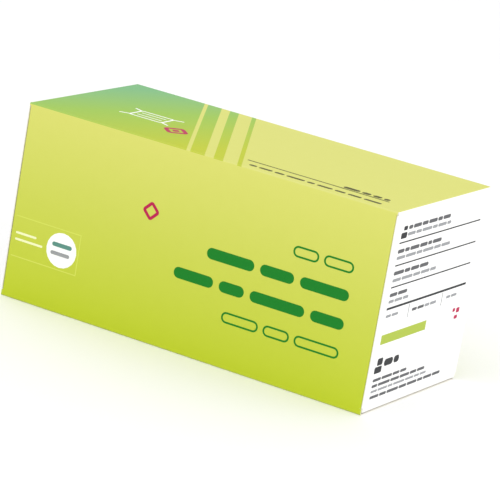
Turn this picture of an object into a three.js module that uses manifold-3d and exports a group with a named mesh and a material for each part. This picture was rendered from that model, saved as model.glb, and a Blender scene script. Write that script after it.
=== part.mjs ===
// A tuck-end carton for surgical face masks, folded from one sheet of paperboard: a sleeve of four
// panels closed by a glue flap, and at each end a lid with a tuck flap over two dust flaps.
// Millimetres. X runs along the carton, the front panel faces -Y, Z is up, and the origin is the
// centre of the underside.
import * as THREE from "three";
import { mergeVertices } from "three/addons/utils/BufferGeometryUtils.js";
import Module from "manifold-3d";

// Driving sizes
const cartonLength = 200; // outside, over both lids
const cartonDepth = 96; // outside, front to back
const cartonHeight = 96; // outside, base to top
const boardThickness = 0.5;
const foldGap = 0.3; // between two panels that meet at a crease or lie on each other
const creaseInnerRadius = 0.3; // inside of a folded corner
const creaseSteps = 4; // facets in a folded corner, an even number

const glueFlapHeight = 16; // from the base up the inside of the back panel
const glueFlapTaper = 5; // how much shorter its free edge is at each end
const seamGap = 0.2; // between the fold at the base and the raw lower edge of the back panel

const tuckLength = 16; // from the lid's outer face to the tuck flap's free edge
const tuckSlope = THREE.MathUtils.degToRad(10); // rises inwards, so that it clears the base as the lid opens
const tuckShoulder = 1.5; // how much narrower than the lid it is at each side
const tuckTaper = 2; // how much narrower again at its free edge
const tuckCornerRadius = 10;
const tuckCornerSteps = 8; // facets in each of its corners, an even number

const dustFlapSpacing = 12; // between the free edges of the two dust flaps at one end
const dustFlapTopGap = 1; // top edge at the crease, below the top panel
const dustFlapTopSlope = THREE.MathUtils.degToRad(32); // top edge falls away, clear of the opening lid
const dustFlapBottomGap = 2.5; // bottom edge at the crease, above the base panel
const dustFlapBottomSlope = THREE.MathUtils.degToRad(8); // bottom edge rises away from the tuck flap

// Sizes that follow
const halfLength = cartonLength / 2;
const halfDepth = cartonDepth / 2;
const creaseRadius = creaseInnerRadius + boardThickness; // outside of a folded corner
const foldLine = halfLength - boardThickness - foldGap; // outer face of the dust flaps, inside the lid
const lidHalfWidth = halfDepth - creaseRadius;
const dustFlapLength = (cartonDepth - dustFlapSpacing) / 2;
const mitreShift = foldGap / Math.SQRT2; // half the gap of a 45 degree cut, measured along a face
const overcut = 2; // cutting shapes run past the board by this much

const printedBoard = new THREE.MeshStandardMaterial({ color: "#d3db5c", roughness: 0.45, metalness: 0 });
const whiteBoard = new THREE.MeshStandardMaterial({ color: "#fafaf7", roughness: 0.55, metalness: 0 });

const wasm = await Module();
wasm.setup();

// A closed geometry as a solid that can be joined and cut.
function solidOf(geometry) {
  geometry.deleteAttribute("normal");
  geometry.deleteAttribute("uv");
  const merged = mergeVertices(geometry, 1e-4);
  return new wasm.Manifold(
    new wasm.Mesh({
      numProp: 3,
      vertProperties: merged.getAttribute("position").array,
      triVerts: new Uint32Array(merged.index.array),
    }),
  );
}

// A named mesh of a solid.
function pieceOf(name, solid, material) {
  const { vertProperties, triVerts } = solid.getMesh();
  const geometry = new THREE.BufferGeometry();
  geometry.setAttribute("position", new THREE.BufferAttribute(new Float32Array(vertProperties), 3));
  geometry.setIndex(new THREE.BufferAttribute(new Uint32Array(triVerts), 1));
  const mesh = new THREE.Mesh(geometry, material);
  mesh.name = name;
  return mesh;
}

function polygon(points) {
  return new THREE.Shape(points.map(([a, b]) => new THREE.Vector2(a, b)));
}

// An arc gets two facets for each of the curve segments that the geometry is asked for.
function extruded(shape, length, arcSteps) {
  return new THREE.ExtrudeGeometry(shape, {
    depth: length,
    bevelEnabled: false,
    curveSegments: arcSteps / 2,
  });
}

// Each prism takes an outline in two of the carton's axes and runs along the third.
function prismAlongX(outlineYZ, fromX, toX) {
  const axes = new THREE.Matrix4().makeBasis(
    new THREE.Vector3(0, 1, 0),
    new THREE.Vector3(0, 0, 1),
    new THREE.Vector3(1, 0, 0),
  );
  const geometry = extruded(outlineYZ, toX - fromX, creaseSteps).applyMatrix4(axes);
  return solidOf(geometry.translate(fromX, 0, 0));
}

function prismAlongY(outlineXZ, fromY, toY) {
  const geometry = extruded(outlineXZ, toY - fromY, creaseSteps).rotateX(Math.PI / 2);
  return solidOf(geometry.translate(0, toY, 0));
}

function prismAlongZ(outlineXY, fromZ, toZ, arcSteps = creaseSteps) {
  return solidOf(extruded(outlineXY, toZ - fromZ, arcSteps).translate(0, 0, fromZ));
}

// The carton's block seen from the front, with the folded corners of the lids' creases.
function lidCreaseEnvelope() {
  const r = creaseRadius;
  const outline = new THREE.Shape();
  outline.moveTo(-halfLength, -overcut);
  outline.lineTo(halfLength, -overcut);
  outline.absarc(halfLength - r, cartonHeight - r, r, 0, Math.PI / 2);
  outline.absarc(-halfLength + r, cartonHeight - r, r, Math.PI / 2, Math.PI);
  return prismAlongY(outline, -halfDepth - overcut, halfDepth + overcut);
}

// The carton's block seen from above, with the folded corners of the dust flaps' creases.
function dustCreaseEnvelope() {
  const r = creaseRadius;
  const outline = new THREE.Shape();
  outline.absarc(-foldLine + r, -halfDepth + r, r, Math.PI, 1.5 * Math.PI);
  outline.absarc(foldLine - r, -halfDepth + r, r, 1.5 * Math.PI, 2 * Math.PI);
  outline.absarc(foldLine - r, halfDepth - r, r, 0, Math.PI / 2);
  outline.absarc(-foldLine + r, halfDepth - r, r, Math.PI / 2, Math.PI);
  return prismAlongZ(outline, -overcut, cartonHeight + overcut);
}

// The middle of the top and base panels, which runs past the dust flaps' creases to meet the lids.
function lidWidthSlab() {
  const end = halfLength + overcut;
  const outline = polygon([
    [-end, -lidHalfWidth],
    [end, -lidHalfWidth],
    [end, lidHalfWidth],
    [-end, lidHalfWidth],
  ]);
  return prismAlongZ(outline, -overcut, cartonHeight + overcut);
}

// Cross-section of the sleeve: four panels round a hollow, with the glue flap inside the back panel.
function sleeveSection() {
  const t = boardThickness;
  const outer = creaseRadius;
  const inner = creaseInnerRadius;
  const flapFace = halfDepth - t; // where the glue flap lies on the back panel
  const low = outer; // height of the centres of the lower folds
  const high = cartonHeight - outer;
  const front = -halfDepth + outer;
  const back = halfDepth - outer;
  const section = new THREE.Shape();
  section.absarc(front, low, outer, Math.PI, 1.5 * Math.PI);
  section.absarc(flapFace - outer, low, outer, 1.5 * Math.PI, 2 * Math.PI);
  section.lineTo(flapFace, creaseRadius + seamGap);
  section.lineTo(halfDepth, creaseRadius + seamGap);
  section.absarc(back, high, outer, 0, Math.PI / 2);
  section.absarc(front, high, outer, Math.PI / 2, Math.PI);
  const hollow = new THREE.Path();
  hollow.absarc(front, low, inner, Math.PI, 1.5 * Math.PI);
  hollow.absarc(flapFace - outer, low, inner, 1.5 * Math.PI, 2 * Math.PI);
  hollow.lineTo(flapFace - t, glueFlapHeight);
  hollow.lineTo(flapFace, glueFlapHeight);
  hollow.absarc(back, high, inner, 0, Math.PI / 2);
  hollow.absarc(front, high, inner, Math.PI / 2, Math.PI);
  section.holes.push(hollow);
  return section;
}

// What a 45 degree cut takes off a panel that ends at a crease. The panel's end and its outer face would
// meet at `end` and `face`, each on the side of the carton that its sign gives.
function mitreWaste(endSign, end, faceSign, face) {
  const t = boardThickness;
  const at = (inFromEnd, inFromFace) => [endSign * (end - inFromEnd), faceSign * (face - inFromFace)];
  return polygon([
    at(mitreShift - overcut, -overcut),
    at(mitreShift + t, t),
    at(-2 * overcut, t),
    at(-2 * overcut, -overcut),
  ]);
}

// What tapers one end of the glue flap, clear of the dust flap behind the lid.
function glueFlapWaste(endSign) {
  const t = boardThickness;
  const foot = foldLine - t - foldGap;
  const outline = polygon([
    [endSign * foot, t],
    [endSign * (foot - glueFlapTaper), glueFlapHeight],
    [endSign * (halfLength + overcut), glueFlapHeight],
    [endSign * (halfLength + overcut), t],
  ]);
  return prismAlongY(outline, halfDepth - 2 * t, halfDepth - t);
}

function sleeve() {
  const tube = prismAlongX(sleeveSection(), -halfLength, halfLength);
  let board = tube.intersect(lidCreaseEnvelope()).intersect(dustCreaseEnvelope().add(lidWidthSlab()));
  for (const end of [-1, 1]) {
    const topWaste = mitreWaste(end, halfLength, 1, cartonHeight);
    board = board.subtract(prismAlongY(topWaste, -halfDepth - overcut, halfDepth + overcut));
    for (const side of [-1, 1]) {
      const sideWaste = mitreWaste(end, foldLine, side, halfDepth);
      board = board.subtract(prismAlongZ(sideWaste, -overcut, cartonHeight + overcut));
    }
    board = board.subtract(glueFlapWaste(end));
  }
  return board;
}

// The fold between the right-hand lid and its tuck flap, seen from the front.
const tuckFoldCentre = new THREE.Vector2(halfLength - creaseRadius, boardThickness + foldGap + creaseRadius);
const tuckInwards = new THREE.Vector2(-Math.cos(tuckSlope), Math.sin(tuckSlope));
const tuckUpwards = new THREE.Vector2(Math.sin(tuckSlope), Math.cos(tuckSlope));

// The right-hand lid and its tuck flap, bent from one strip.
function endStrip() {
  const t = boardThickness;
  const fold = tuckFoldCentre;
  const foot = fold.clone().addScaledVector(tuckUpwards, -creaseRadius);
  const tipBelow = foot.clone().addScaledVector(tuckInwards, tuckLength + overcut);
  const tipAbove = tipBelow.clone().addScaledVector(tuckUpwards, t);
  const toInnerFace = (halfLength - t - tipAbove.x) / tuckInwards.x;
  const innerCorner = tipAbove.clone().addScaledVector(tuckInwards, toInnerFace);
  const strip = new THREE.Shape();
  strip.moveTo(halfLength, cartonHeight - mitreShift);
  strip.lineTo(halfLength, fold.y);
  strip.absarc(fold.x, fold.y, creaseRadius, 0, -Math.PI / 2 - tuckSlope, true);
  strip.lineTo(tipBelow.x, tipBelow.y);
  strip.lineTo(tipAbove.x, tipAbove.y);
  strip.lineTo(innerCorner.x, innerCorner.y);
  strip.lineTo(halfLength - t, cartonHeight - t - mitreShift);
  return prismAlongY(strip, -lidHalfWidth, lidHalfWidth);
}

// All that lies on one side of the line that halves the tuck flap's fold, short of half the gap there.
function besideTuckFold(side) {
  const reach = cartonHeight + cartonLength;
  const angle = -(Math.PI / 2 + tuckSlope) / 2;
  const outwards = new THREE.Vector2(Math.cos(angle), Math.sin(angle));
  const sideways = new THREE.Vector2(-outwards.y, outwards.x).multiplyScalar(side);
  const corner = (along, beside) => {
    const point = tuckFoldCentre.clone().addScaledVector(outwards, along).addScaledVector(sideways, beside);
    return [point.x, point.y];
  };
  const outline = polygon([
    corner(-reach, foldGap / 2),
    corner(reach, foldGap / 2),
    corner(reach, reach),
    corner(-reach, reach),
  ]);
  return prismAlongY(outline, -halfDepth, halfDepth);
}

function lid() {
  return endStrip().intersect(besideTuckFold(1)).intersect(lidCreaseEnvelope());
}

// The tuck flap has shoulders at its crease, a slight taper and two rounded corners, seen from above.
function tuckFlap() {
  const r = tuckCornerRadius;
  const tip = halfLength - tuckLength;
  const wide = lidHalfWidth - tuckShoulder;
  const narrow = wide - tuckTaper;
  const plan = new THREE.Shape();
  plan.moveTo(halfLength, -wide);
  plan.lineTo(halfLength, wide);
  plan.lineTo(halfLength - creaseRadius, wide);
  plan.absarc(tip + r, narrow - r, r, Math.PI / 2, Math.PI);
  plan.absarc(tip + r, -narrow + r, r, Math.PI, 1.5 * Math.PI);
  plan.lineTo(halfLength - creaseRadius, -wide);
  const outline = prismAlongZ(plan, 0, cartonHeight, tuckCornerSteps);
  return endStrip().intersect(besideTuckFold(-1)).intersect(outline);
}

// A dust flap of the right-hand end. `side` is -1 for the one creased to the front panel, 1 for the back.
function dustFlap(side) {
  const t = boardThickness;
  const freeEdge = halfDepth - dustFlapLength;
  const plan = polygon([
    [foldLine, side * (halfDepth - mitreShift)],
    [foldLine - t, side * (halfDepth - t - mitreShift)],
    [foldLine - t, side * freeEdge],
    [foldLine, side * freeEdge],
  ]);
  const top = cartonHeight - t - dustFlapTopGap;
  const bottom = t + dustFlapBottomGap;
  const outline = polygon([
    [side * halfDepth, bottom],
    [side * freeEdge, bottom + dustFlapLength * Math.tan(dustFlapBottomSlope)],
    [side * freeEdge, top - dustFlapLength * Math.tan(dustFlapTopSlope)],
    [side * halfDepth, top],
  ]);
  const board = prismAlongZ(plan, 0, cartonHeight).intersect(dustCreaseEnvelope());
  return board.intersect(prismAlongX(outline, 0, halfLength));
}

// The pieces that close the right-hand end. The other end is the same, turned half round.
function endClosure(name, firstFlap, secondFlap) {
  const closure = new THREE.Group();
  closure.add(pieceOf(`${name}_lid`, lid(), whiteBoard));
  closure.add(pieceOf(`${name}_tuck_flap`, tuckFlap(), whiteBoard));
  closure.add(pieceOf(`${name}_${firstFlap}_dust_flap`, dustFlap(-1), whiteBoard));
  closure.add(pieceOf(`${name}_${secondFlap}_dust_flap`, dustFlap(1), whiteBoard));
  return closure;
}

const carton = new THREE.Group();
carton.add(pieceOf("sleeve", sleeve(), printedBoard));
carton.add(endClosure("right", "front", "back"));
const leftEnd = endClosure("left", "back", "front");
leftEnd.rotation.z = Math.PI;
carton.add(leftEnd);

export default carton;
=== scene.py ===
"""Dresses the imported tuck-end carton: folded and printed paperboard, floor, lights and camera.

Metres, in the frame of the CAD model: X runs along the carton, the front panel faces -Y and Z is up. Each
sheet of board is drawn as its outer face, folded and beveled at the creases, and then given its thickness
inwards. Sizes that come from the CAD model are read from it; tables of print are in millimetres.
"""

import math

import bpy
from bpy.props import FloatProperty, FloatVectorProperty, IntProperty, PointerProperty
from bpy.types import Operator, Panel, PropertyGroup
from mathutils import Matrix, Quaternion, Vector


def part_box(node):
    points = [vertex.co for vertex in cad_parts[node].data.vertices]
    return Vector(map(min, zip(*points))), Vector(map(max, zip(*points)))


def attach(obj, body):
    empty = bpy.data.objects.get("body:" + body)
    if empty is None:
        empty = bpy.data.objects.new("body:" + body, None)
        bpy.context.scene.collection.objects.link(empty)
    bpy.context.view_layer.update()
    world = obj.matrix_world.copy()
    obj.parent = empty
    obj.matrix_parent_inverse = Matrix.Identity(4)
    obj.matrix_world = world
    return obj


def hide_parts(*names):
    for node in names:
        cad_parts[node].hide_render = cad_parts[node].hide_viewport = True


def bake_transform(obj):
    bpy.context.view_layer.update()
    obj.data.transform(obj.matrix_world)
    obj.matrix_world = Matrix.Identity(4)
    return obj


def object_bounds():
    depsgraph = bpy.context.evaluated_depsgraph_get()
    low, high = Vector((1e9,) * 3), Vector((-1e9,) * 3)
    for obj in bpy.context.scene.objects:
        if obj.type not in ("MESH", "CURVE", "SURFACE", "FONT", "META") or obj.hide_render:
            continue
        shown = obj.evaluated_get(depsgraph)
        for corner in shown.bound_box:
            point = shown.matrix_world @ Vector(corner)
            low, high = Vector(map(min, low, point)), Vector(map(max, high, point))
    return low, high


bl_info = {
    "name": "Tuck-end mask carton",
    "version": (1, 0, 0),
    "blender": (4, 5, 0),
    "location": "View3D > Sidebar > Carton",
    "description": "Dresses the packed carton in printed board and sets its stage",
    "category": "Object",
}

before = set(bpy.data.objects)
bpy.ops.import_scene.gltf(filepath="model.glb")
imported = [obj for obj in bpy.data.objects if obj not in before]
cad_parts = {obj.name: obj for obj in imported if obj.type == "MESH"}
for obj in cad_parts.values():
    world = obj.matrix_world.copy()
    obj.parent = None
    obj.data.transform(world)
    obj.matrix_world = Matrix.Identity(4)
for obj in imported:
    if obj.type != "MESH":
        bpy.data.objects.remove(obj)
CAD_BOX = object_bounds()

MM = 0.001

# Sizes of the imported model
HALF_LENGTH = CAD_BOX[1].x
HALF_DEPTH = CAD_BOX[1].y
HEIGHT = CAD_BOX[1].z
FLAP_LIFT = 0.2 * MM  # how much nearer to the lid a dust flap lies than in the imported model
FOLD_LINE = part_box("right_front_dust_flap")[1].x + FLAP_LIFT  # outer face of the dust flaps
CORNER_LINE = HALF_LENGTH - 0.2 * MM  # where the sleeve's corners end, beside the lid's creases
FLAP_FREE_EDGE = -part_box("right_front_dust_flap")[1].y
LID_HALF_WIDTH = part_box("right_lid")[1].y  # also where the sleeve's flat panels begin
TUCK_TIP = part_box("right_tuck_flap")[0].x
TUCK_HALF_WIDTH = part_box("right_tuck_flap")[1].y

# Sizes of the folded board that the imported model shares
CREASE_RADIUS = HALF_DEPTH - LID_HALF_WIDTH  # outside of a folded corner
TAB = 0.5 * MM  # flat board that a flap keeps beyond its crease
SEAM_GAP = 0.2 * MM  # from the fold at the base up to the back panel's raw edge
GLUE_FLAP_HEIGHT = 16 * MM
GLUE_FLAP_TAPER = 5 * MM
GLUE_LINE = 0.05 * MM  # between the glue flap and the back panel
FLAP_FOOT_LOW = 3 * MM  # a dust flap's crease runs between these heights
FLAP_FOOT_HIGH = HEIGHT - 1.5 * MM
FLAP_TOP_SLOPE = math.radians(32)
FLAP_BOTTOM_SLOPE = math.radians(8)
FLAP_CORNER_RADIUS = 4 * MM
INK_BLEED = 3 * MM  # how far the sleeve's print runs on round a dust flap's crease
FLAP_ROOT = FOLD_LINE - CREASE_RADIUS  # where a dust flap's crease begins
FLAP_TAB_START = FLAP_ROOT - TAB  # where its board begins, in the front or back panel
LID_TAB_START = FOLD_LINE - TAB  # where a lid's board begins, in the top panel
LID_WING = 0.7 * MM  # how much wider the lid is beside the dust flaps than at its own creases
LID_WING_GAP = 0.3 * MM  # between the wings' ends and the sleeve's corners above and below them
LID_FOOT = 1.2 * MM  # lower edge of the lid beside the tuck flap
TUCK_START = 2.1 * MM  # where the tuck flap's board begins, above its crease
TUCK_FOLD_HEIGHT = 1.6 * MM  # centre of the tuck flap's crease
TUCK_SLOPE = math.radians(10)
TUCK_TAPER = 2 * MM
TUCK_CORNER_RADIUS = 10 * MM

# Turns of a flat primitive that make it face along an axis, with its own X and Y across and up
FACING_UP = (0, 0, 0)
FACING_FRONT = (math.radians(90), 0, 0)
FACING_BACK = (math.radians(90), 0, math.radians(180))
FACING_RIGHT = (math.radians(90), 0, math.radians(90))

# Fineness of the modelling
SAME_PLACE = 0.01 * MM  # what is nearer to a place than this counts as at it
PAST = 0.1 * MM  # what is further beyond a line than this counts as past it
ON_THE_CUT = 1e-6  # metres from a cut within which a point is taken as on it
FOLD_MARGIN = 0.3 * MM  # flat board between a fold and the cut beside it
TUCK_FOLD_MARGIN = 0.6 * MM
CORNER_FACETS = 8  # round a flap's corner
CORNER_ROOM = 0.99  # share of a corner's radius, so that its rounding stops short of the next point
SHARP_FROM = math.radians(30)  # an edge that turns more than this stays sharp


def linear(hex_colour):
    """An sRGB hex colour as linear red, green and blue."""
    channels = [int(hex_colour[i : i + 2], 16) / 255 for i in (1, 3, 5)]
    return [c / 12.92 if c <= 0.04045 else ((c + 0.055) / 1.055) ** 2.4 for c in channels]


def colour_property(name, description, hex_colour):
    return FloatVectorProperty(
        name=name, description=description, subtype="COLOR", min=0, max=1, default=linear(hex_colour)
    )


def size_property(name, description, metres):
    return FloatProperty(
        name=name, description=description, default=metres, min=0, subtype="DISTANCE", unit="LENGTH"
    )


def angle_property(name, description, degrees):
    return FloatProperty(name=name, description=description, default=math.radians(degrees), subtype="ANGLE")


class CartonBoardSizes(PropertyGroup):
    """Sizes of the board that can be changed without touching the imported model."""

    thickness: size_property("Thickness", "Thickness of the board", 0.5 * MM)
    panel_bow: size_property("Panel bow", "How far a big panel stands out in its middle", 0.35 * MM)
    lid_bow: size_property("Lid bow", "How far a lid stands out in its middle", 0.2 * MM)
    cut_spacing: size_property("Cut spacing", "Distance between the cuts that let a panel bow", 8 * MM)
    crease_steps: IntProperty(name="Crease steps", description="Facets round a fold", default=8, min=2)
    ink_height: size_property("Ink height", "How far each layer of ink stands out", 0.03 * MM)


class CartonColours(PropertyGroup):
    """Colours of the board and its inks."""

    lime_top: colour_property("Lime, top", "Printed field at the top of the carton", "#d8d972")
    lime_middle: colour_property("Lime, middle", "Printed field half way up", "#cad256")
    lime_bottom: colour_property("Lime, bottom", "Printed field at the base", "#becd2e")
    tint_back: colour_property("Tint, back", "Tinted field at the far back corner", "#7ab97f")
    tint_middle: colour_property("Tint, middle", "Tinted field half way to the bands' ends", "#9ac348")
    tint_front: colour_property("Tint, front", "Tinted field where the bands end in front", "#bdc718")
    green_ink: colour_property("Green ink", "Capsules on the big panels", "#037c1c")
    magenta_ink: colour_property("Magenta ink", "Small diamonds and blocks", "#b8144e")
    teal_ink: colour_property("Teal ink", "Upper bar in the tag's disc", "#5a8f84")
    tag_line_ink: colour_property("Tag line ink", "Lines of the tag", "#d3dd5c")
    pale_ink: colour_property("Pale ink", "Bars of the tag", "#f2f5c0")
    olive_ink: colour_property("Olive ink", "Rule and rows on the top", "#4a4a08")
    light_grey_ink: colour_property("Light grey ink", "Light rows of the lids and the disc", "#9b9da0")
    dark_grey_ink: colour_property("Dark grey ink", "Strong rows of the lids", "#5f6063")
    black_ink: colour_property("Black ink", "Rules and blocks of the lids", "#2e3033")
    lime_ink: colour_property("Lime ink", "Bar on the lids", "#aec146")
    white_board: colour_property("White board", "Clay coat of the unprinted outside", "#fbfbf9")
    bare_side: colour_property("Bare side", "Uncoated inside of the board", "#ebe7dd")
    cut_edge: colour_property("Cut edge", "Raw edge of the board", "#f3f0e8")


class CartonStage(PropertyGroup):
    """Camera, lights and floor."""

    camera_place: FloatVectorProperty(
        name="Camera place",
        description="Where the camera stands",
        subtype="TRANSLATION",
        unit="LENGTH",
        default=(0.65719, -1.23553, 0.40569),
    )
    azimuth: angle_property("Azimuth", "Turn round the carton", 27.85)
    elevation: angle_property("Elevation", "Tilt above the floor", 14.48)
    roll: angle_property("Roll", "Tilt of the picture", 9.91)
    lens: FloatProperty(name="Lens", description="Focal length in millimetres", default=218.4, min=1)
    floor_width: size_property("Floor width", "Width of the square floor", 12)
    sky_strength: FloatProperty(name="Sky strength", description="Even light of the studio", default=1.0)
    key_power: FloatProperty(name="Key power", description="Watts of the large soft light", default=4)
    side_power: FloatProperty(name="Side power", description="Watts of the light on the lid", default=8)


# Making and changing sheets


def deselect_all():
    """Back to object mode with nothing selected, because an operator acts on all that is selected."""
    if bpy.context.object is not None and bpy.context.object.mode != "OBJECT":
        bpy.ops.object.mode_set(mode="OBJECT")
    bpy.ops.object.select_all(action="DESELECT")


def select_only(piece):
    """Object mode, with nothing but this piece selected, and active."""
    deselect_all()
    bpy.context.view_layer.objects.active = piece
    piece.select_set(True)


def add_plate(centre, facing, width, height):
    """A flat face of that width and height, added to what is being edited and left selected."""
    bpy.ops.mesh.select_all(action="DESELECT")
    bpy.ops.mesh.primitive_plane_add(size=1, location=centre, rotation=facing)
    across = (1, width, 1) if facing == FACING_RIGHT else (width, 1, 1)
    up = (1, height, 1) if facing == FACING_UP else (1, 1, height)
    for share in (across, up):
        bpy.ops.transform.resize(value=share, center_override=centre)


def start_piece(name):
    """An empty mesh object at the origin, in edit mode."""
    deselect_all()
    bpy.ops.mesh.primitive_plane_add(size=1)
    piece = bpy.context.object
    piece.name = name
    piece.data.name = name
    bpy.ops.object.mode_set(mode="EDIT")
    bpy.ops.mesh.select_all(action="SELECT")
    bpy.ops.mesh.delete(type="VERT")
    return piece


def select_in(piece, kind, test):
    """Edit mode, with only those points, edges or faces selected whose middle passes the test."""
    bpy.ops.object.mode_set(mode="EDIT")
    bpy.ops.mesh.select_mode(type=kind)
    bpy.ops.mesh.select_all(action="DESELECT")
    bpy.ops.object.mode_set(mode="OBJECT")
    mesh = piece.data
    parts = {"VERT": mesh.vertices, "EDGE": mesh.edges, "FACE": mesh.polygons}[kind]
    for part in parts:
        corners = [part.index] if kind == "VERT" else part.vertices
        middle = sum((mesh.vertices[i].co for i in corners), Vector()) / len(corners)
        part.select = test(middle)
    bpy.ops.object.mode_set(mode="EDIT")


def near(a, b):
    return abs(a - b) < SAME_PLACE


def extrude_on(step):
    """Draws the selected edge on by a step and leaves the new edge selected."""
    bpy.ops.mesh.extrude_region_move(TRANSFORM_OT_translate={"value": step})


def fold(piece, test, turn=math.radians(90)):
    """Rounds the edges that pass the test to the crease's radius. `turn` is how far the board turns there."""
    steps = bpy.context.scene.carton_board.crease_steps
    select_in(piece, "EDGE", test)
    offset = CREASE_RADIUS * math.tan(turn / 2)
    bpy.ops.mesh.bevel(offset=offset, offset_type="OFFSET", segments=steps, affect="EDGES")


def round_corners(piece, test, radius):
    select_in(piece, "VERT", test)
    bpy.ops.mesh.bevel(offset=radius, offset_type="OFFSET", segments=CORNER_FACETS, affect="VERTICES")


def cut_at(piece, axis, places):
    """Cuts the whole piece straight across at each place along an axis."""
    normal = Vector((0, 0, 0))
    normal[axis] = 1
    bpy.ops.object.mode_set(mode="EDIT")
    for place in places:
        bpy.ops.mesh.select_all(action="SELECT")
        bpy.ops.mesh.bisect(plane_co=normal * place, plane_no=normal, threshold=ON_THE_CUT)
    bpy.ops.object.mode_set(mode="OBJECT")


def even_places(low, high, spacing):
    """Places between two ends, no further apart than the spacing."""
    count = math.ceil((high - low) / spacing)
    return [low + (high - low) * i / count for i in range(1, count)]


def delete_faces(piece, test):
    select_in(piece, "FACE", test)
    bpy.ops.mesh.delete(type="FACE")
    bpy.ops.object.mode_set(mode="OBJECT")


def apply_modifier(piece, kind, **settings):
    select_only(piece)
    bpy.ops.object.modifier_add(type=kind)
    modifier = piece.modifiers[-1]
    for name, value in settings.items():
        setattr(modifier, name, value)
    bpy.ops.object.modifier_apply(modifier=modifier.name)


def smooth_folds(piece):
    """Smooth shading round the folds and sharp cut edges."""
    select_only(piece)
    bpy.ops.object.shade_smooth_by_angle(angle=SHARP_FROM)


def bow(piece, weight_of, rise):
    """Lets the sheet stand out along its normals by `rise` times a weight that comes from each point's
    place."""
    group = piece.vertex_groups.new(name="bow")
    for point in piece.data.vertices:
        group.add([point.index], weight_of(point.co), "REPLACE")
    apply_modifier(piece, "DISPLACE", strength=rise, mid_level=0, vertex_group="bow")
    piece.vertex_groups.remove(piece.vertex_groups["bow"])


def hump(place, low, high):
    """1 half way between two ends, and 0 at both and beyond."""
    share = (place - low) / (high - low)
    return 4 * share * (1 - share) if 0 < share < 1 else 0


CRAZING_AND_HIGHLIGHT = 0.15  # most of the white coat that shows through the ink on the crown of a fold, and of the highlight painted along it


def fold_wear(place):
    """How much white coat shows through at a place, a paler colour that also paints a highlight along the
    folds:
    most on the crown of a fold, none from its foot on.
    """
    to_faces = sorted((HALF_LENGTH - abs(place.x), HALF_DEPTH - abs(place.y), min(place.z, HEIGHT - place.z)))
    crown = CREASE_RADIUS * (2 - math.sqrt(2))  # from both faces, added up, half way round the fold
    share = (CREASE_RADIUS - to_faces[0] - to_faces[1]) / (CREASE_RADIUS - crown)
    return CRAZING_AND_HIGHLIGHT * min(max(share, 0), 1)


def finish_board(piece, is_printed):
    """Gives a folded sheet its finishes, its thickness inwards and its shading. The printed and the white
    outside each have their own inside and edge slot, two and four slots further on."""
    size = bpy.context.scene.carton_board
    bare, edge = finish_of(bare_board_side), finish_of(cut_board_edge)
    for finish in (finish_of(lime_printed_board), finish_of(white_coated_board), bare, bare, edge, edge):
        piece.data.materials.append(finish)
    for face in piece.data.polygons:
        face.material_index = 0 if is_printed(face.center) else 1
    apply_modifier(
        piece,
        "SOLIDIFY",
        thickness=size.thickness,
        offset=-1,
        use_even_offset=True,
        material_offset=2,
        material_offset_rim=4,
    )
    smooth_folds(piece)
    remember_places(piece)


def remember_places(piece):
    """Keeps each point's place on the closed carton, so that print and fibres stay put as a flap bends."""
    mesh = piece.data
    mesh.attributes.new("board_place", "FLOAT_VECTOR", "POINT")
    mesh.attributes.new("fold_wear", "FLOAT", "POINT")
    for point in mesh.vertices:
        mesh.attributes["board_place"].data[point.index].vector = point.co
        # how pale each point's fold is: crazed coat, and a highlight painted along the folds
        mesh.attributes["fold_wear"].data[point.index].value = fold_wear(point.co)


def turned_copy(piece, name):
    """The same piece at the other end of the carton, with a mesh of its own, turned half round about Z."""
    select_only(piece)
    bpy.ops.object.duplicate(linked=False)
    copy = bpy.context.object
    copy.name = name
    copy.data.name = name
    bpy.ops.transform.rotate(value=math.pi, orient_axis="Z", center_override=(0, 0, 0))
    bpy.ops.object.transform_apply(location=True, rotation=True, scale=True)
    if "board_place" in copy.data.attributes:
        places = copy.data.attributes["board_place"]
        for point in copy.data.vertices:
            places.data[point.index].vector = point.co
    return copy


# Materials


def set_inputs(tree, node, inputs):
    """Gives each input, by its name or number, a value, or a link from a socket or from a node's first
    live output."""
    for name, value in inputs.items():
        if isinstance(name, int):
            socket = node.inputs[name]
        else:
            socket = next(s for s in node.inputs if s.enabled and s.name == name)
        if isinstance(value, bpy.types.Node):
            value = next(s for s in value.outputs if s.enabled)
        if isinstance(value, bpy.types.NodeSocket):
            tree.links.new(value, socket)
        elif socket.type == "RGBA":
            socket.default_value = (*value, 1)
        else:
            socket.default_value = value


def add_node(tree, kind, settings=None, inputs=None):
    """Adds a node with its settings and what its inputs take."""
    node = tree.nodes.new(kind)
    for name, value in (settings or {}).items():
        setattr(node, name, value)
    set_inputs(tree, node, inputs or {})
    return node


def set_stops(ramp, stops, interpolation="LINEAR"):
    """Gives a ramp its colours at their positions, lowest first."""
    ramp.interpolation = interpolation
    while len(ramp.elements) < len(stops):
        ramp.elements.new(1)
    for element, (position, colour) in zip(ramp.elements, stops):
        element.position = position
        element.color = (*colour, 1)


def new_material(name, roughness, ior=1.5, specular=0.5):
    """A material of that name with its node tree and its Principled shader."""
    material = bpy.data.materials.new(name)
    material.use_nodes = True
    shader = material.node_tree.nodes["Principled BSDF"]
    finish = {"Roughness": roughness, "IOR": ior, "Specular IOR Level": specular}
    set_inputs(material.node_tree, shader, finish)
    return material, material.node_tree, shader


def finish_of(build):
    """The material that a function builds under its own name, built the first time that it is asked for."""
    return bpy.data.materials.get(build.__name__) or build(build.__name__)


def between(first, second, share):
    """The colour part of the way from one to another."""
    return [a + (b - a) * share for a, b in zip(first, second)]


def share_along(tree, place, direction, low, high):
    """0 to 1 between two places along a direction."""
    along = add_node(tree, "ShaderNodeVectorMath", {"operation": "DOT_PRODUCT"}, {0: place, 1: direction})
    return add_node(tree, "ShaderNodeMapRange", inputs={"Value": along, "From Min": low, "From Max": high})


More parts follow.
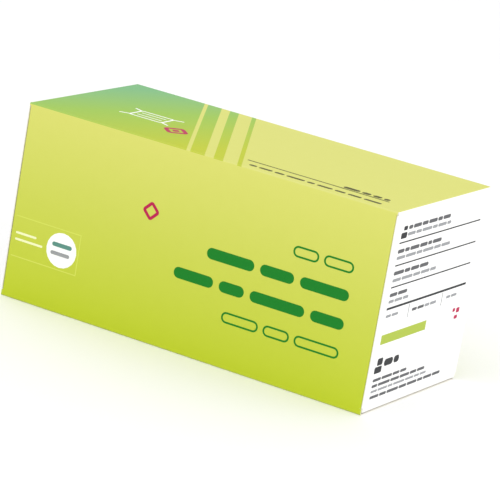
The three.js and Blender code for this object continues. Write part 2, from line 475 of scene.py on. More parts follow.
def dress_surface(tree, shader, colour, height, depth):
    """Gives a shader its colour, and relief of that depth in metres from a height between 0 and 1."""
    relief = add_node(tree, "ShaderNodeBump", inputs={"Height": height, "Distance": depth})
    set_inputs(tree, shader, {"Base Color": colour, "Normal": relief})


MATT_VARNISH = 0.1  # specular level of a varnish that scatters most of what it reflects
PRINT_ROUGHNESS = 0.48
COAT_ROUGHNESS = 0.5
PRESSED_ROUGHNESS = 0.85
TORN_ROUGHNESS = 0.9
PULP_IOR = 1.45
INK_UNEVENNESS = 0.02  # share of white coat that shows through where an ink is thinnest
COAT_MOTTLE = 6 * MM  # clouds of slightly thicker and thinner coat
COAT_GRAIN = 0.35 * MM  # fibres that telegraph through the coat
COAT_RELIEF = 0.004 * MM
FIBRE_LENGTH = 1.5 * MM
FIBRE_WIDTH = 0.12 * MM  # real fibres are a fifth as wide, too fine to show
PRESSED_FIBRE_RELIEF = 0.02 * MM
TORN_FIBRE_RELIEF = 0.03 * MM
MOTTLE_SHADE = "#fdfdf7"  # what the thickest ink takes away
THIN_COAT = 0.08  # share of bare board that shows through the coat where it is thinnest
PRESSED_SHADOW = "#cfc8b9"  # between pressed fibres
PRESSED_DEPTH = 0.35  # share of that shadow
PRESSED_STOPS = (0.35, 0.7)  # of the fibres' pattern, where the shadow begins and is deepest
TORN_SHADOW = "#ddd7ca"  # between torn fibres
TORN_DEPTH = 0.5

BLACK = (0, 0, 0)
WHITE = (1, 1, 1)

# The tinted field at the top panel's left, and the slanted bands beyond its end
FIELD_END = -36 * MM  # half way between front and back
FIELD_OVERLAP = 0.7 * MM  # how far the tint runs down over the long folds
BAND_COUNT = 3
BAND_PITCH = 10 * MM
BAND_LEAN = 0.5  # how far the field's end and the bands lean along X for each step along Y
BAND_WIDEST = 0.78  # share of the pitch that the first band covers
BAND_THINNING = 0.27  # what each next one covers less
BAND_START = 0.001  # share of the pitch, because two stops of a ramp can't share a place
TINT_LEAN = 0.68  # how far the tint's equal tones lean along X for each step along Y
TINT_REACH = 150 * MM  # along X, from the back corner's tint to the bands' ends in front
TINT_START = 0.1  # share of that reach from which the tone at the corner changes


def tinted_bands(tree, place):
    """1 inside the tinted field and inside the bands, each narrower than the one before."""
    stops = [(0, WHITE)]
    for number in range(BAND_COUNT):
        width = BAND_WIDEST - number * BAND_THINNING
        stops.append(((number + BAND_START) / BAND_COUNT, BLACK))
        stops.append(((number + 1 - width) / BAND_COUNT, WHITE))
    stops.append((1, BLACK))
    past_field = share_along(tree, place, (1, BAND_LEAN, 0), FIELD_END, FIELD_END + BAND_COUNT * BAND_PITCH)
    bands = add_node(tree, "ShaderNodeValToRGB", inputs={"Fac": past_field})
    set_stops(bands.color_ramp, stops, "CONSTANT")
    height = add_node(tree, "ShaderNodeSeparateXYZ", inputs={"Vector": place}).outputs["Z"]
    on_top = add_node(
        tree, "ShaderNodeMath", {"operation": "GREATER_THAN"}, {0: height, 1: HEIGHT - FIELD_OVERLAP}
    )
    return add_node(tree, "ShaderNodeMath", {"operation": "MULTIPLY"}, {0: bands, 1: on_top})


def coat_patterns(tree, place):
    """The clay coat's clouds, and the grain of the fibres under it."""
    clouds = add_node(tree, "ShaderNodeTexNoise", inputs={"Vector": place, "Scale": 1 / COAT_MOTTLE})
    grain = add_node(tree, "ShaderNodeTexNoise", inputs={"Vector": place, "Scale": 1 / COAT_GRAIN})
    return clouds, grain


def lime_printed_board(name):
    """Clay-coated folding boxboard, offset-printed and varnished: an even field that deepens downwards, a
    soft broad sheen, a trace of mottle, and folds that are a little paler where the coat has crazed, a
    paleness that also paints a highlight along them."""
    colours = bpy.context.scene.carton_colours
    material, tree, shader = new_material(name, PRINT_ROUGHNESS, specular=MATT_VARNISH)
    place = add_node(tree, "ShaderNodeAttribute", {"attribute_name": "board_place"}).outputs["Vector"]
    wear_and_highlight = add_node(tree, "ShaderNodeAttribute", {"attribute_name": "fold_wear"}).outputs["Fac"]
    clouds, grain = coat_patterns(tree, place)

    up = share_along(tree, place, (0, 0, 1), 0, HEIGHT)
    lime = add_node(tree, "ShaderNodeValToRGB", inputs={"Fac": up})
    set_stops(lime.color_ramp, ((0, colours.lime_bottom), (0.5, colours.lime_middle), (1, colours.lime_top)))
    corner = -HALF_LENGTH - HALF_DEPTH * TINT_LEAN
    from_corner = share_along(tree, place, (1, -TINT_LEAN, 0), corner, corner + TINT_REACH)
    tint = add_node(tree, "ShaderNodeValToRGB", inputs={"Fac": from_corner})
    tints = ((TINT_START, colours.tint_back), (0.5, colours.tint_middle), (1, colours.tint_front))
    set_stops(tint.color_ramp, tints)
    layers = {"Factor": tinted_bands(tree, place), "A": lime, "B": tint}
    inked = add_node(tree, "ShaderNodeMix", {"data_type": "RGBA"}, layers)

    layers = {"Factor": clouds, "A": inked, "B": linear(MOTTLE_SHADE)}
    mottled = add_node(tree, "ShaderNodeMix", {"data_type": "RGBA", "blend_type": "MULTIPLY"}, layers)
    # Paler on the crowns of the folds: crazed coat showing white, and a painted highlight along the folds
    crazed_and_highlight = add_node(tree, "ShaderNodeMath", {"operation": "MULTIPLY"}, {0: wear_and_highlight, 1: grain})
    layers = {"Factor": crazed_and_highlight, "A": mottled, "B": colours.white_board}
    worn_and_highlighted = add_node(tree, "ShaderNodeMix", {"data_type": "RGBA"}, layers)
    dress_surface(tree, shader, worn_and_highlighted, grain, COAT_RELIEF)
    return material


def white_coated_board(name):
    """The same clay coat, neither inked nor varnished: bright white, with a broad sheen."""
    colours = bpy.context.scene.carton_colours
    material, tree, shader = new_material(name, COAT_ROUGHNESS)
    place = add_node(tree, "ShaderNodeAttribute", {"attribute_name": "board_place"}).outputs["Vector"]
    clouds, grain = coat_patterns(tree, place)
    thin_coat = between(colours.white_board, colours.bare_side, THIN_COAT)
    layers = {"Factor": clouds, "A": colours.white_board, "B": thin_coat}
    coat = add_node(tree, "ShaderNodeMix", {"data_type": "RGBA"}, layers)
    dress_surface(tree, shader, coat, grain, COAT_RELIEF)
    return material


def bare_board_side(name):
    """Uncoated pulp, pressed on the board machine: matt, warm grey-white, with short fibres that lie mostly
    along the carton."""
    colours = bpy.context.scene.carton_colours
    material, tree, shader = new_material(name, PRESSED_ROUGHNESS, ior=PULP_IOR)
    place = add_node(tree, "ShaderNodeAttribute", {"attribute_name": "board_place"}).outputs["Vector"]
    stretch = {"Vector": place, "Scale": (FIBRE_WIDTH / FIBRE_LENGTH, 1, 1)}
    along_machine = add_node(tree, "ShaderNodeMapping", inputs=stretch)
    grain = {"Vector": along_machine, "Scale": 1 / FIBRE_WIDTH}
    fibres = add_node(tree, "ShaderNodeTexNoise", inputs=grain)
    pulp = add_node(tree, "ShaderNodeValToRGB", inputs={"Fac": fibres})
    shadow = between(colours.bare_side, linear(PRESSED_SHADOW), PRESSED_DEPTH)
    set_stops(pulp.color_ramp, tuple(zip(PRESSED_STOPS, (colours.bare_side, shadow))))
    dress_surface(tree, shader, pulp, fibres, PRESSED_FIBRE_RELIEF)
    return material


def cut_board_edge(name):
    """Board cut by a steel rule: the pulp's layers show as a matt, slightly torn edge."""
    colours = bpy.context.scene.carton_colours
    material, tree, shader = new_material(name, TORN_ROUGHNESS, ior=PULP_IOR)
    place = add_node(tree, "ShaderNodeAttribute", {"attribute_name": "board_place"}).outputs["Vector"]
    fibres = add_node(tree, "ShaderNodeTexNoise", inputs={"Vector": place, "Scale": 1 / FIBRE_WIDTH})
    shadow = between(colours.cut_edge, linear(TORN_SHADOW), TORN_DEPTH)
    layers = {"Factor": fibres, "A": colours.cut_edge, "B": shadow}
    pulp = add_node(tree, "ShaderNodeMix", {"data_type": "RGBA"}, layers)
    dress_surface(tree, shader, pulp, fibres, TORN_FIBRE_RELIEF)
    return material


def offset_ink(name):
    """A layer of offset ink in one of the carton's colours: it dries as smooth as the coat under it and is a
    little uneven in density."""
    if name in bpy.data.materials:
        return bpy.data.materials[name]
    colours = bpy.context.scene.carton_colours
    ink = getattr(colours, name)
    material, tree, shader = new_material(name, PRINT_ROUGHNESS, specular=MATT_VARNISH)
    place = add_node(tree, "ShaderNodeTexCoord").outputs["Object"]
    grain = add_node(tree, "ShaderNodeTexNoise", inputs={"Vector": place, "Scale": 1 / COAT_GRAIN})
    layers = {"Factor": grain, "A": ink, "B": between(ink, colours.white_board, INK_UNEVENNESS)}
    inked = add_node(tree, "ShaderNodeMix", {"data_type": "RGBA"}, layers)
    dress_surface(tree, shader, inked, grain, COAT_RELIEF)
    return material


# Pieces of board

BOW_EVENNESS = 4  # power that keeps a big panel's bow even along it until close to its ends
LID_SIDE_LOSS = 0.6  # share of the lid's bow that is gone at its sides


class CARTON_OT_sleeve(Operator):
    """Folds the sleeve: back, top, front and base panels and the glue flap, one sheet of board"""

    bl_idname = "carton.sleeve"
    bl_label = "Sleeve"

    def execute(self, context):
        board = context.scene.carton_board
        back_edge = CREASE_RADIUS + SEAM_GAP
        flap_face = HALF_DEPTH - board.thickness - GLUE_LINE
        piece = start_piece("sleeve_board")
        back_middle = (0, HALF_DEPTH, (back_edge + HEIGHT) / 2)
        add_plate(back_middle, FACING_BACK, 2 * HALF_LENGTH, HEIGHT - back_edge)
        select_in(piece, "EDGE", lambda p: near(p.z, HEIGHT))
        extrude_on((0, -2 * HALF_DEPTH, 0))
        extrude_on((0, 0, -HEIGHT))
        extrude_on((0, HALF_DEPTH + flap_face, 0))
        extrude_on((0, 0, GLUE_FLAP_HEIGHT))
        fold(piece, lambda p: self.is_fold(p, flap_face))
        self.cut_panels(piece, board.cut_spacing)
        self.cut_out_ends(piece, flap_face)
        self.taper_glue_flap(piece, flap_face)
        bow(piece, self.bow_weight, board.panel_bow)

        def is_printed(p):
            on_back = p.z > back_edge and p.y > flap_face + GLUE_LINE
            return on_back or p.y < flap_face - PAST

        finish_board(piece, is_printed)
        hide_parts("sleeve")
        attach(piece, "sleeve")
        return {"FINISHED"}

    @staticmethod
    def is_fold(place, flap_face):
        """The four edges between panels run along X."""
        folds = ((HALF_DEPTH, HEIGHT), (-HALF_DEPTH, HEIGHT), (-HALF_DEPTH, 0), (flap_face, 0))
        return any(near(place.y, y) and near(place.z, z) for y, z in folds)

    @staticmethod
    def cut_panels(piece, spacing):
        """Cuts where the ends are notched, close beside each fold, and evenly in between."""
        ends = (CORNER_LINE, LID_TAB_START, FLAP_ROOT, FLAP_TAB_START)
        at_ends = [side * end for side in (-1, 1) for end in ends]
        cut_at(piece, 0, at_ends + even_places(-FLAP_TAB_START, FLAP_TAB_START, spacing))
        beside = CREASE_RADIUS + FOLD_MARGIN
        low, high = beside, HEIGHT - beside
        cut_at(piece, 2, [low, FLAP_FOOT_LOW, FLAP_FOOT_HIGH, high] + even_places(low, high, spacing))
        side = HALF_DEPTH - beside
        cut_at(piece, 1, [-LID_HALF_WIDTH, -side, side] + even_places(-side, side, spacing))

    @staticmethod
    def cut_out_ends(piece, flap_face):
        """Removes what belongs to the lids' and dust flaps' own boards, and what the folded corners lack."""

        def beyond_end(p):
            end = abs(p.x)
            on_base = p.z < SAME_PLACE and abs(p.y) < LID_HALF_WIDTH
            on_top = p.z > HEIGHT - SAME_PLACE and abs(p.y) < LID_HALF_WIDTH
            on_side = FLAP_FOOT_LOW < p.z < FLAP_FOOT_HIGH and abs(p.y) > HALF_DEPTH - SAME_PLACE
            on_glue_flap = near(p.y, flap_face) or p.z < LID_FOOT and p.y > LID_HALF_WIDTH - CREASE_RADIUS
            if on_top:
                return end > LID_TAB_START
            if on_side:
                return end > FLAP_TAB_START
            if on_glue_flap and abs(p.y) < HALF_DEPTH - SAME_PLACE:
                return end > FLAP_ROOT
            return end > CORNER_LINE and not on_base

        delete_faces(piece, beyond_end)

    @staticmethod
    def taper_glue_flap(piece, flap_face):
        """Cuts the glue flap's ends on a slant, clear of the dust flaps."""
        for side in (-1, 1):
            select_in(piece, "FACE", lambda p: near(p.y, flap_face) and p.z > CREASE_RADIUS)
            slant = Vector((side * GLUE_FLAP_HEIGHT, 0, GLUE_FLAP_TAPER))
            at = Vector((side * FLAP_ROOT, 0, 0))
            bpy.ops.mesh.bisect(plane_co=at, plane_no=slant, clear_outer=True, threshold=ON_THE_CUT)
        bpy.ops.object.mode_set(mode="OBJECT")

    @staticmethod
    def bow_weight(place):
        """The top and the sides stand out in their middle. The base stays flat on the floor."""
        along = 1 - min(abs(place.x) / FLAP_TAB_START, 1) ** BOW_EVENNESS
        if abs(place.y) > HALF_DEPTH - SAME_PLACE:
            return along * hump(place.z, CREASE_RADIUS, HEIGHT - CREASE_RADIUS)
        if place.z > HEIGHT - SAME_PLACE:
            return along * hump(place.y, -LID_HALF_WIDTH, LID_HALF_WIDTH)
        return 0


class CARTON_OT_lids(Operator):
    """Folds the right-hand lid over the end from a tab on the top panel, and copies it for the left"""

    bl_idname = "carton.lids"
    bl_label = "Lids"

    def execute(self, context):
        board = context.scene.carton_board
        piece = start_piece("right_lid_board")
        tab_middle = ((LID_TAB_START + HALF_LENGTH) / 2, 0, HEIGHT)
        add_plate(tab_middle, FACING_UP, HALF_LENGTH - LID_TAB_START, 2 * LID_HALF_WIDTH)
        select_in(piece, "EDGE", lambda p: near(p.x, HALF_LENGTH))
        extrude_on((0, 0, TUCK_START - HEIGHT))
        fold(piece, lambda p: near(p.x, HALF_LENGTH) and near(p.z, HEIGHT))
        beside = HEIGHT - CREASE_RADIUS - FOLD_MARGIN
        cut_at(piece, 2, [beside] + even_places(TUCK_START, beside, board.cut_spacing))
        shoulders = [-TUCK_HALF_WIDTH, TUCK_HALF_WIDTH]
        cut_at(piece, 1, shoulders + even_places(-TUCK_HALF_WIDTH, TUCK_HALF_WIDTH, board.cut_spacing))
        select_in(piece, "EDGE", lambda p: near(p.z, TUCK_START) and abs(p.y) > TUCK_HALF_WIDTH + PAST)
        extrude_on((0, 0, LID_FOOT - TUCK_START))
        low, high = FLAP_FOOT_LOW + LID_WING_GAP, FLAP_FOOT_HIGH - LID_WING_GAP
        cut_at(piece, 2, [low, high])
        for side in (-1, 1):
            select_in(piece, "EDGE", lambda p: near(p.y, side * LID_HALF_WIDTH) and low < p.z < high)
            extrude_on((0, side * LID_WING, 0))
        bpy.ops.object.mode_set(mode="OBJECT")
        bow(piece, self.bow_weight, board.lid_bow)
        crown = HEIGHT - CREASE_RADIUS * (1 - math.sqrt(0.5))  # half way round the fold
        finish_board(piece, lambda p: p.z > crown)
        left_piece = turned_copy(piece, "left_lid_board")
        for side, name, lid in ((1, "right", piece), (-1, "left", left_piece)):
            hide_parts(f"{name}_lid")
            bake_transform(lid)
        return {"FINISHED"}

    @staticmethod
    def bow_weight(place):
        across = 1 - LID_SIDE_LOSS * (place.y / LID_HALF_WIDTH) ** 2
        return across * hump(place.z, TUCK_START, HEIGHT - CREASE_RADIUS)


class CARTON_OT_tuck_flaps(Operator):
    """Folds the right-hand tuck flap in under the lid, and copies it for the left"""

    bl_idname = "carton.tuck_flaps"
    bl_label = "Tuck flaps"

    def execute(self, context):
        board = context.scene.carton_board
        turn = math.radians(90) + TUCK_SLOPE
        # The lid's and the flap's outer faces would meet at this height without the crease's radius
        corner = TUCK_FOLD_HEIGHT - CREASE_RADIUS * math.tan(turn / 2)
        shoulder_reach = HALF_LENGTH - (TUCK_TIP + TUCK_CORNER_RADIUS)
        piece = start_piece("right_tuck_board")
        start_middle = (HALF_LENGTH, 0, (TUCK_START + corner) / 2)
        add_plate(start_middle, FACING_RIGHT, 2 * TUCK_HALF_WIDTH, TUCK_START - corner)
        select_in(piece, "EDGE", lambda p: near(p.z, corner))
        extrude_on((-shoulder_reach, 0, shoulder_reach * math.tan(TUCK_SLOPE)))
        narrow = (TUCK_HALF_WIDTH - TUCK_TAPER) / TUCK_HALF_WIDTH
        bpy.ops.transform.resize(value=(1, narrow, 1), center_override=(0, 0, 0))
        extrude_on((-TUCK_CORNER_RADIUS, 0, TUCK_CORNER_RADIUS * math.tan(TUCK_SLOPE)))
        round_corners(piece, lambda p: near(p.x, TUCK_TIP), TUCK_CORNER_RADIUS * CORNER_ROOM)
        fold(piece, lambda p: near(p.x, HALF_LENGTH) and near(p.z, corner), turn)
        cut_at(piece, 0, [HALF_LENGTH - CREASE_RADIUS - TUCK_FOLD_MARGIN])
        cut_at(piece, 1, even_places(-TUCK_HALF_WIDTH, TUCK_HALF_WIDTH, board.cut_spacing))
        finish_board(piece, lambda p: False)
        left_piece = turned_copy(piece, "left_tuck_board")
        for side, name, flap in ((1, "right", piece), (-1, "left", left_piece)):
            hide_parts(f"{name}_tuck_flap")
            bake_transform(flap)
        return {"FINISHED"}


class CARTON_OT_dust_flaps(Operator):
    """Folds the four dust flaps in from tabs on the front and back panels, behind the lids"""

    bl_idname = "carton.dust_flaps"
    bl_label = "Dust flaps"

    def execute(self, context):
        for side, first, second in ((-1, "right_front", "left_back"), (1, "right_back", "left_front")):
            flap = self.fold_flap(f"{first}_dust_board", side)
            self.attach(flap, first, 1, side)
            other = turned_copy(flap, f"{second}_dust_board")
            self.attach(other, second, -1, -side)
        return {"FINISHED"}

    @staticmethod
    def fold_flap(name, side):
        """A dust flap at the right-hand end. `side` is -1 for the front panel's and 1 for the back's."""
        reach = HALF_DEPTH - FLAP_FREE_EDGE
        foot = FLAP_FOOT_HIGH - FLAP_FOOT_LOW
        foot_middle = (FLAP_FOOT_LOW + FLAP_FOOT_HIGH) / 2
        piece = start_piece(name)
        tab_middle = ((FLAP_TAB_START + FOLD_LINE) / 2, side * HALF_DEPTH, foot_middle)
        add_plate(tab_middle, FACING_FRONT if side < 0 else FACING_BACK, FOLD_LINE - FLAP_TAB_START, foot)
        select_in(piece, "EDGE", lambda p: near(p.x, FOLD_LINE))
        extrude_on((0, -side * reach, 0))
        tip_low = FLAP_FOOT_LOW + reach * math.tan(FLAP_BOTTOM_SLOPE)
        tip_high = FLAP_FOOT_HIGH - reach * math.tan(FLAP_TOP_SLOPE)
        bpy.ops.transform.resize(value=(1, 1, (tip_high - tip_low) / foot), center_override=tab_middle)
        bpy.ops.transform.translate(value=(0, 0, (tip_low + tip_high) / 2 - foot_middle))
        round_corners(piece, lambda p: near(p.y, side * FLAP_FREE_EDGE), FLAP_CORNER_RADIUS)
        fold(piece, lambda p: near(p.x, FOLD_LINE) and near(p.y, side * HALF_DEPTH))
        bleed = HALF_DEPTH - INK_BLEED
        cut_at(piece, 1, [side * bleed, side * (LID_HALF_WIDTH - FOLD_MARGIN)])
        finish_board(piece, lambda p: abs(p.y) > bleed)
        return piece

    @staticmethod
    def attach(flap, name, end, side):
        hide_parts(f"{name}_dust_flap")
        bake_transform(flap)


# Print

MARK_DROP = 1 * MM  # how far above its panel a mark is drawn, before it is laid on
MARK_CUTS = 10 * MM  # between the cuts that let a mark follow its panel's bow
INK_SOAK = 0.01 * MM  # how deep ink reaches into the board, so that no gap shows under it
MARK_CORNER_FACETS = 5
ROUND_END = 0.49  # share of a mark's height; a full half would leave its ends no edge
ON_POINT = math.radians(45)  # turn that stands a square mark on its corner


class PrintPanel:
    """A panel to print on: how its marks are turned, its board, the axis that it faces along and its place
    on that axis."""

    def __init__(self, facing, board, axis, face):
        self.facing = facing
        self.board = board
        self.axis = axis
        self.face = face

    def place(self, across, up):
        """A point just above the panel, from millimetres across and up it."""
        above = self.face + math.copysign(MARK_DROP, self.face)
        if self.axis == 2:
            return (across * MM, up * MM, above)
        if self.axis == 1:
            return (across * MM, above, up * MM)
        return (above, across * MM, up * MM)


FRONT = PrintPanel(FACING_FRONT, "sleeve_board", 1, -HALF_DEPTH)
TOP = PrintPanel(FACING_UP, "sleeve_board", 2, HEIGHT)
LID = PrintPanel(FACING_RIGHT, "right_lid_board", 0, HALF_LENGTH)


def add_mark(panel, across, up, width, height, corner=None, stroke=0.0, turn=0.0):
    """A flat mark in millimetres on a panel, with corners of that radius or else round ends. With a stroke
    it is only an outline."""
    centre = panel.place(across, up)
    add_plate(centre, panel.facing, width * MM, height * MM)
    radius = ROUND_END * min(width, height) if corner is None else corner
    if radius > 0:
        bpy.ops.mesh.bevel(offset=radius * MM, segments=MARK_CORNER_FACETS, affect="VERTICES")
    if turn:
        axis = "XYZ"[panel.axis]
        bpy.ops.transform.rotate(value=turn, orient_axis=axis, center_override=centre)
    if stroke > 0:
        bpy.ops.mesh.inset(thickness=stroke * MM)
        bpy.ops.mesh.delete(type="FACE")


def lay_on(piece, panel, ink, layer):
    """Cuts the marks so that they can follow the panel's bow, lays them on the board and gives them the
    height of their layer of ink."""
    for axis in range(3):
        if axis != panel.axis:
            cut_at(piece, axis, even_places(-HALF_LENGTH, HALF_LENGTH, MARK_CUTS))
    toward = "XYZ"[panel.axis].lower()
    apply_modifier(
        piece,
        "SHRINKWRAP",
        target=bpy.data.objects[panel.board],
        wrap_method="PROJECT",
        use_negative_direction=True,
        use_positive_direction=True,
        **{f"use_project_{toward}": True},
    )
    raised = layer * bpy.context.scene.carton_board.ink_height
    thickness = raised + INK_SOAK
    apply_modifier(piece, "SOLIDIFY", thickness=thickness, offset=(raised - INK_SOAK) / thickness)
    piece.data.materials.append(offset_ink(ink))


def print_marks(name, panel, marks, ink, layer=1):
    """One piece for all the marks of one ink. A mark is a tuple of what add_mark takes after the panel."""
    piece = start_piece(name)
    for mark in marks:
        add_mark(panel, *mark)
    lay_on(piece, panel, ink, layer)
    return piece


def bar_row(start, middle, height, lengths, gap):
    """Marks for a row of plain bars of those lengths, from where the row starts."""
    marks = []
    for length in lengths:
        marks.append((start + length / 2, middle, length, height))
        start += length + gap
    return marks


# The front panel's four lines of plain capsules, which end at the same right edge. Millimetres.
FRONT_RIGHT_EDGE = 83.5
FRONT_LINES = (
    # middle, height, stroke (0 for solid), gap, lengths from the right
    (65.0, 5.4, 0.9, 2.6, (15.5, 13.5)),
    (51.8, 5.4, 0.0, 3.2, (25.5, 18.0, 25.5)),
    (38.2, 5.4, 0.0, 3.2, (17.5, 29.0, 13.5, 21.5)),
    (24.4, 5.4, 0.9, 2.6, (23.5, 14.0, 19.8)),
)
TAG_LINES = (
    # across, up, width, height, corner
    (-78.75, 40.7, 37.7, 0.5, 0.0),
    (-78.75, 20.9, 37.7, 0.5, 0.0),
    (-60.15, 30.8, 0.5, 19.2, 0.0),
)
TAG_DISC = (-69.8, 30.6)
TAG_DISC_ACROSS = 17.0
TAG_BARS = (
    # across, up, width, height
    (-90.6, 32.6, 12.0, 1.1),
    (-88.6, 29.4, 16.0, 1.1),
)
DISC_STRONG_BAR = (-69.8, 32.9, 11.2, 2.1)
DISC_LIGHT_BAR = (-70.3, 28.6, 10.8, 1.8)
FRONT_DIAMOND = (-24.8, 62.6)
DIAMOND_SIDE = 7.0
DIAMOND_STROKE = 1.5
DIAMOND_CORNER = 1.5


class CARTON_OT_front_print(Operator):
    """Prints the front panel's capsules, tag and diamond, and copies them to the back panel"""

    bl_idname = "carton.front_print"
    bl_label = "Front and back print"

    def execute(self, context):
        disc = (*TAG_DISC, TAG_DISC_ACROSS, TAG_DISC_ACROSS)
        side = DIAMOND_SIDE
        diamond = (*FRONT_DIAMOND, side, side, DIAMOND_CORNER, DIAMOND_STROKE, ON_POINT)
        prints = (
            print_marks("front_capsules", FRONT, self.line_marks(), "green_ink"),
            print_marks("front_tag_lines", FRONT, TAG_LINES, "tag_line_ink"),
            print_marks("front_tag_bars", FRONT, TAG_BARS, "pale_ink"),
            print_marks("front_tag_disc", FRONT, [disc], "white_board"),
            print_marks("front_disc_strong_bar", FRONT, [DISC_STRONG_BAR], "teal_ink", layer=2),
            print_marks("front_disc_light_bar", FRONT, [DISC_LIGHT_BAR], "light_grey_ink", layer=2),
            print_marks("front_diamond", FRONT, [diamond], "magenta_ink"),
        )
        for piece in prints:
            copy = turned_copy(piece, piece.name.replace("front", "back"))
            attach(piece, "sleeve")
            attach(copy, "sleeve")
        return {"FINISHED"}

    @staticmethod
    def line_marks():
        marks = []
        for middle, height, stroke, gap, lengths in FRONT_LINES:
            end = FRONT_RIGHT_EDGE
            for length in lengths:
                marks.append((end - length / 2, middle, length, height, None, stroke))
                end -= length + gap
        return marks


# The top panel's print. Millimetres along X and Y.
TOP_RULE = (51.3, -35.5, 74.6, 1.1, 0.0)
TOP_SMALL_ROW = (19.0, -42.6, 2.2, (4.0, 7.0, 5.0, 9.5, 4.0, 8.0, 5.5, 7.0, 9.0), 1.3)
TOP_STRONG_ROW = (63.5, -32.6, 3.0, (8.5, 4.5, 4.5, 3.0), 1.2)
MASK_FIGURE = (-55.0, -10.0)
MASK_SIZE = (19.0, 13.0)
MASK_CORNER = 1.8
MASK_STROKE = 1.0
MASK_PLEAT_SHORTER = 5.0  # how much shorter a pleat is than the panel
MASK_PLEAT_STROKE = 0.8
MASK_TIE = 6.0
MASK_TIE_LAP = 1.4  # over the panel's corner
MASK_TIE_RISE = 1.2  # how far a tie's middle lies beyond its end at the panel, up or down
MASK_TIE_LEAN = math.radians(24)
TOP_DIAMOND = (-33.5, -22.5)
TOP_DIAMOND_SIDE = 10.5
TOP_DIAMOND_CORNER = 2.42
TOP_DIAMOND_STROKE = 2.2
TOP_CORE_SIDE = 3.2  # of the small solid diamond in its middle
TOP_CORE_CORNER = 0.64


class CARTON_OT_top_print(Operator):
    """Prints the top panel's small rows, the plain figure of a pleated mask and the diamond beside it"""

    bl_idname = "carton.top_print"
    bl_label = "Top print"

    def execute(self, context):
        rows = [TOP_RULE, *bar_row(*TOP_SMALL_ROW), *bar_row(*TOP_STRONG_ROW)]
        side, core = TOP_DIAMOND_SIDE, TOP_CORE_SIDE
        diamonds = (
            (*TOP_DIAMOND, side, side, TOP_DIAMOND_CORNER, TOP_DIAMOND_STROKE, ON_POINT),
            (*TOP_DIAMOND, core, core, TOP_CORE_CORNER, 0.0, ON_POINT),
        )
        prints = (
            print_marks("top_rule_and_rows", TOP, rows, "olive_ink"),
            print_marks("top_mask_panel", TOP, self.mask_panel(), "white_board"),
            print_marks("top_mask_ties", TOP, self.mask_ties(), "white_board", layer=2),
            print_marks("top_diamond", TOP, diamonds, "magenta_ink"),
        )
        for piece in prints:
            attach(piece, "sleeve")
        return {"FINISHED"}

    @staticmethod
    def mask_panel():
        """An outlined panel that two pleats divide in thirds."""
        x, y = MASK_FIGURE
        width, height = MASK_SIZE
        marks = [(x, y, width, height, MASK_CORNER, MASK_STROKE)]
        for pleat in (-1, 1):
            marks.append((x, y + pleat * height / 6, width - MASK_PLEAT_SHORTER, MASK_PLEAT_STROKE))
        return marks

    @staticmethod
    def mask_ties():
        """Four ties that lean out from the panel's corners."""
        x, y = MASK_FIGURE
        width, height = MASK_SIZE
        marks = []
        for side in (-1, 1):
            for edge in (-1, 1):
                across = x + side * ((width + MASK_TIE) / 2 - MASK_TIE_LAP)
                up = y + edge * (height / 2 - MASK_TIE_LAP + MASK_TIE_RISE)
                marks.append((across, up, MASK_TIE, MASK_STROKE, None, 0.0, -side * edge * MASK_TIE_LEAN))
        return marks


# The right-hand lid's print. Millimetres along Y and Z.
LID_LEFT = -41.3  # where most rows start
LID_LOW_LEFT = -42.3  # where the lowest rows start
LID_GAP = 0.7  # between the bars of a row
LID_RULES = (
    # across, up, width, height, corner
    (0.4, 80.6, 83.4, 0.65, 0.0),
    (0.0, 70.0, 82.6, 0.65, 0.0),
    (-0.7, 59.7, 81.4, 0.65, 0.0),
    (-1.2, 49.6, 81.2, 1.1, 0.0),
)
LID_DIVIDERS = (
    (-18.8, 45.5, 0.6, 6.4, 0.0),
    (15.4, 45.5, 0.6, 6.4, 0.0),
)
LID_BLOCKS = (
    (-37.3, 87.3, 3.6, 2.0, 0.6),
    (-38.0, 83.9, 5.8, 2.8, 0.8),
    (-38.4, 24.2, 5.2, 3.4, 0.8),
    (-39.2, 20.4, 7.0, 3.2, 0.8),
)
LID_BLOCK_ROW = (-34.0, 22.8, 3.4, (8.6, 5.2), 0.9)
LID_STRONG_ROWS = (
    # start, middle, height, lengths
    (-34.2, 87.2, 1.8, (4.0, 8.0, 6.0, 8.5, 4.7, 7.5)),
    (LID_LEFT, 76.6, 1.8, (6.5, 4.5, 9.0, 7.5, 3.9, 9.0)),
    (LID_LEFT, 66.3, 1.8, (10.0, 5.5, 8.2, 8.7)),
    (LID_LEFT, 56.0, 1.7, (7.4, 9.0)),
    (-15.3, 45.3, 1.4, (5.0, 6.5)),
    (LID_LOW_LEFT, 15.5, 1.4, (8.0, 10.3, 6.7, 6.3)),
    (LID_LOW_LEFT, 12.7, 1.4, (5.5, 11.6, 8.6, 9.6, 6.6, 7.6)),
    (LID_LOW_LEFT, 7.3, 1.4, (8.8, 6.6, 11.4, 7.6, 9.8, 5.5, 8.6, 8.1)),
)
LID_LIGHT_ROWS = (
    (-34.2, 84.0, 1.5, (7.6, 5.5, 9.8, 4.9, 8.6, 3.9)),
    (LID_LEFT, 73.5, 1.5, (8.4, 9.9, 5.8, 10.6, 6.8, 8.9)),
    (LID_LEFT, 62.9, 1.5, (8.2, 10.8, 7.1, 8.7, 5.9)),
    (LID_LEFT, 52.9, 1.4, (5.1, 7.6, 5.4)),
    (LID_LEFT, 46.0, 1.3, (5.0, 6.3)),
    (-2.4, 45.3, 1.4, (5.0, 6.2)),
    (20.0, 45.6, 1.3, (4.4, 5.9)),
    (LID_LOW_LEFT, 10.1, 1.1, (6.2, 9.3, 4.7, 11.3, 8.3, 5.3, 6.2)),
)
LID_BAR = (-19.4, 34.9, 44.8, 4.6, 0.0)
LID_SMALL_BLOCKS = (
    # across, up, width, height, corner
    (36.0, 36.9, 3.4, 2.4, 0.6),
    (34.8, 33.6, 3.4, 1.8, 0.6),
    (31.6, 37.5, 2.6, 1.8, 0.6),
)


